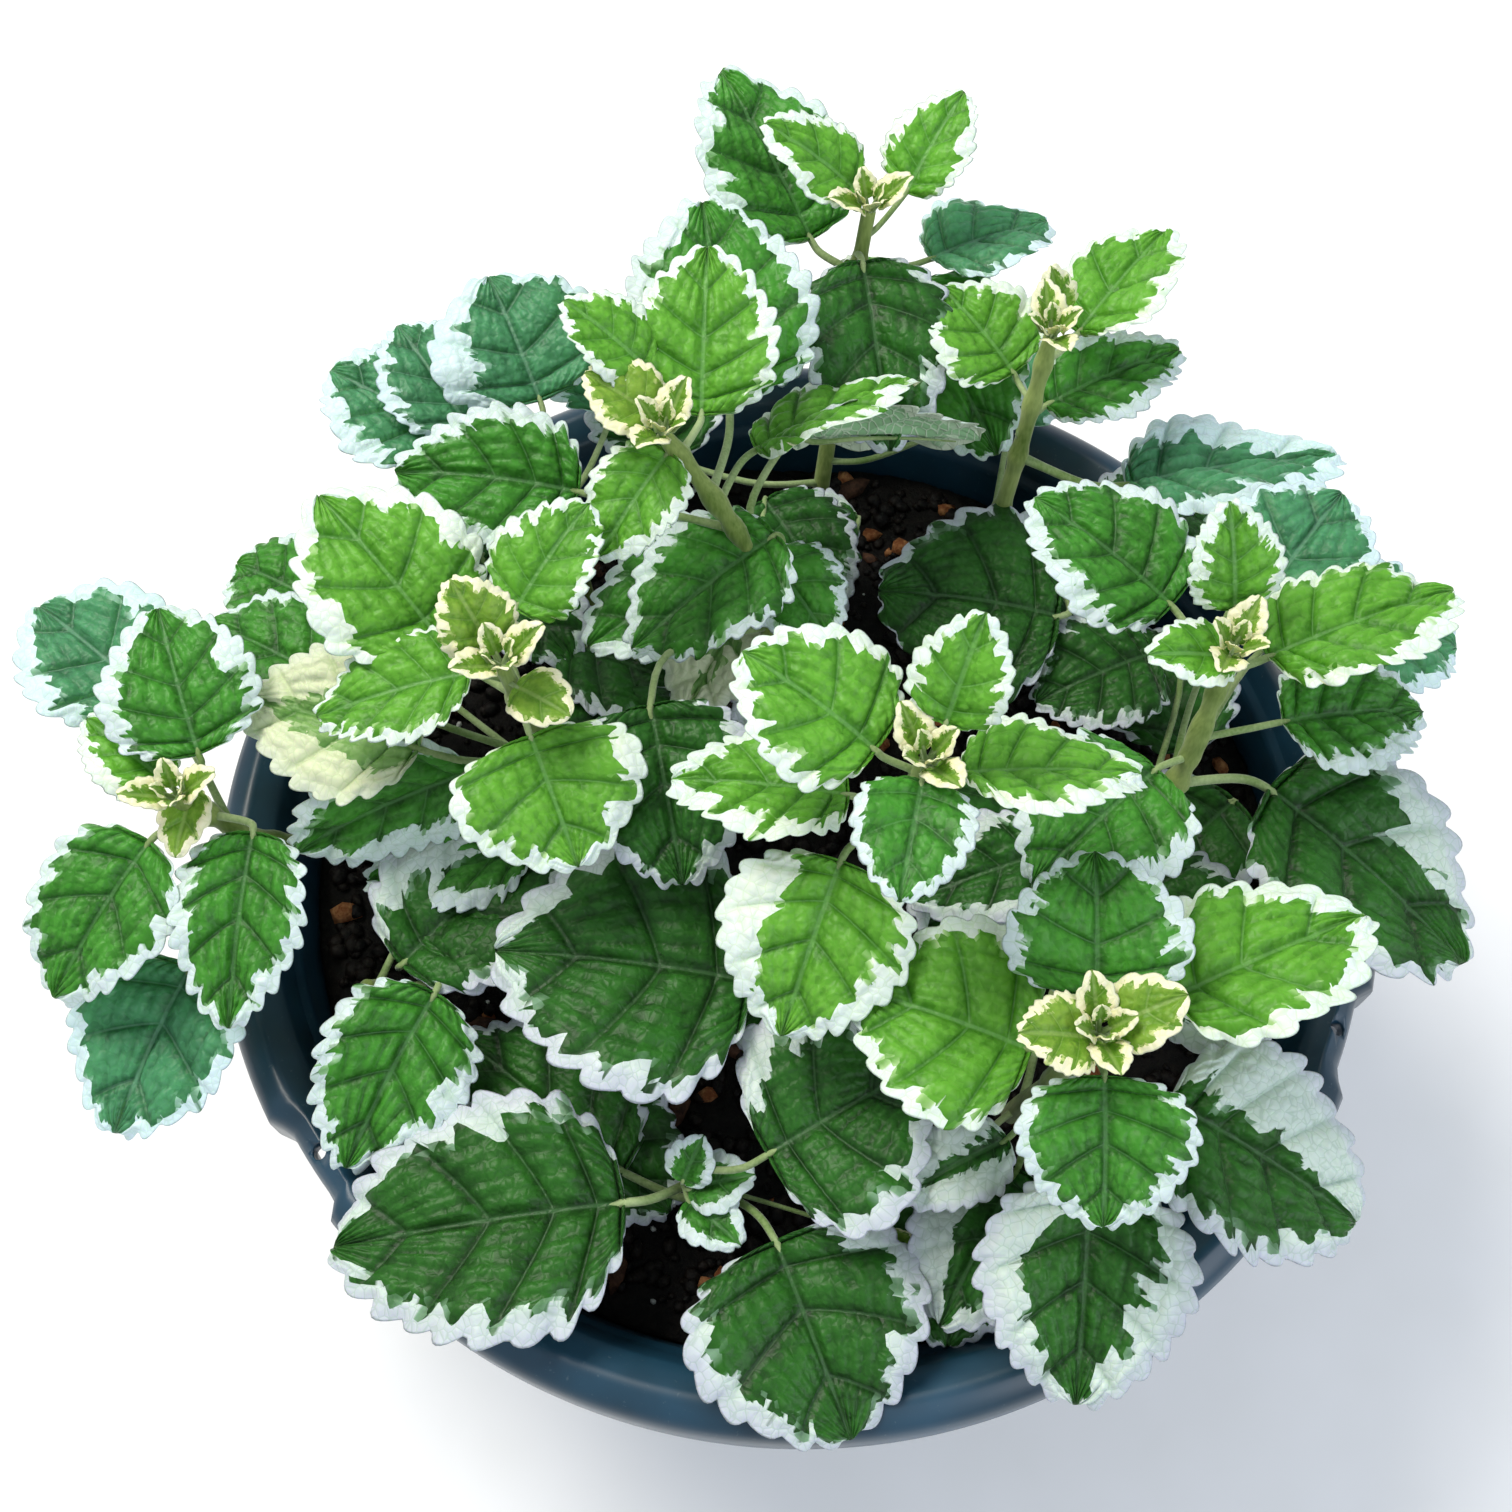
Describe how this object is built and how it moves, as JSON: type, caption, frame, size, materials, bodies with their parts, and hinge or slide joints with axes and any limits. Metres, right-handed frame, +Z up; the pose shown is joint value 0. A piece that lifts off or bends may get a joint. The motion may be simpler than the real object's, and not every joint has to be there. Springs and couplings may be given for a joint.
{
  "type": "potted swedish ivy",
  "caption": "Bushy trailing houseplant with scalloped, white-edged green leaves on several shoots, growing in a round tapered plastic pot with a rolled lip.",
  "frame": {"origin": "centre of the pot's flat base, on the surface it stands on", "axes": "+Z up out of the pot, -Y towards the front of the plant, +X to its right seen from the front"},
  "size_m": [0.3012, 0.2695, 0.2298],
  "materials": {
    "pot_plastic": "injection moulded, satin, dark teal",
    "potting_mix": "damp peat and bark mix with grit",
    "stem": "soft green stem, finely hairy",
    "leaf": "quilted green leaf with a cream-white margin"
  },
  "bodies": {
    "root": {"pot": "pot_plastic", "soil": "potting_mix", "back_stem": "stem", "back_leaf_1": "leaf", "back_leaf_2": "leaf", "back_leaf_3": "leaf", "right_back_stem": "stem", "right_back_leaf_1": "leaf", "right_back_leaf_2": "leaf", "right_back_leaf_3": "leaf", "right_back_leaf_4": "leaf", "centre_back_stem": "stem", "centre_back_leaf_1": "leaf", "centre_back_leaf_2": "leaf", "centre_back_leaf_3": "leaf", "centre_back_leaf_4": "leaf", "centre_back_leaf_5": "leaf", "left_back_stem": "stem", "left_back_leaf_1": "leaf", "left_back_leaf_2": "leaf", "left_stem": "stem", "left_leaf_1": "leaf", "left_leaf_2": "leaf", "left_leaf_3": "leaf", "far_left_stem": "stem", "far_left_leaf_1": "leaf", "far_left_leaf_2": "leaf", "far_left_leaf_3": "leaf", "far_left_leaf_4": "leaf", "far_left_leaf_5": "leaf", "far_left_leaf_6": "leaf", "right_stem": "stem", "right_leaf_1": "leaf", "right_leaf_2": "leaf", "right_leaf_3": "leaf", "right_leaf_4": "leaf", "right_leaf_5": "leaf", "right_leaf_6": "leaf", "right_leaf_7": "leaf", "right_leaf_8": "leaf", "centre_stem": "stem", "centre_leaf_1": "leaf", "centre_leaf_2": "leaf", "centre_leaf_3": "leaf", "centre_leaf_4": "leaf", "centre_leaf_5": "leaf", "right_front_stem": "stem", "right_front_leaf_1": "leaf", "right_front_leaf_2": "leaf", "right_front_leaf_3": "leaf", "right_front_leaf_4": "leaf", "right_front_leaf_5": "leaf", "right_front_leaf_6": "leaf", "front_stem": "stem", "front_leaf_1": "leaf", "front_leaf_2": "leaf", "front_leaf_3": "leaf", "left_front_stem": "stem", "left_front_leaf_1": "leaf", "left_front_leaf_2": "leaf"}
  },
  "joints": []
}
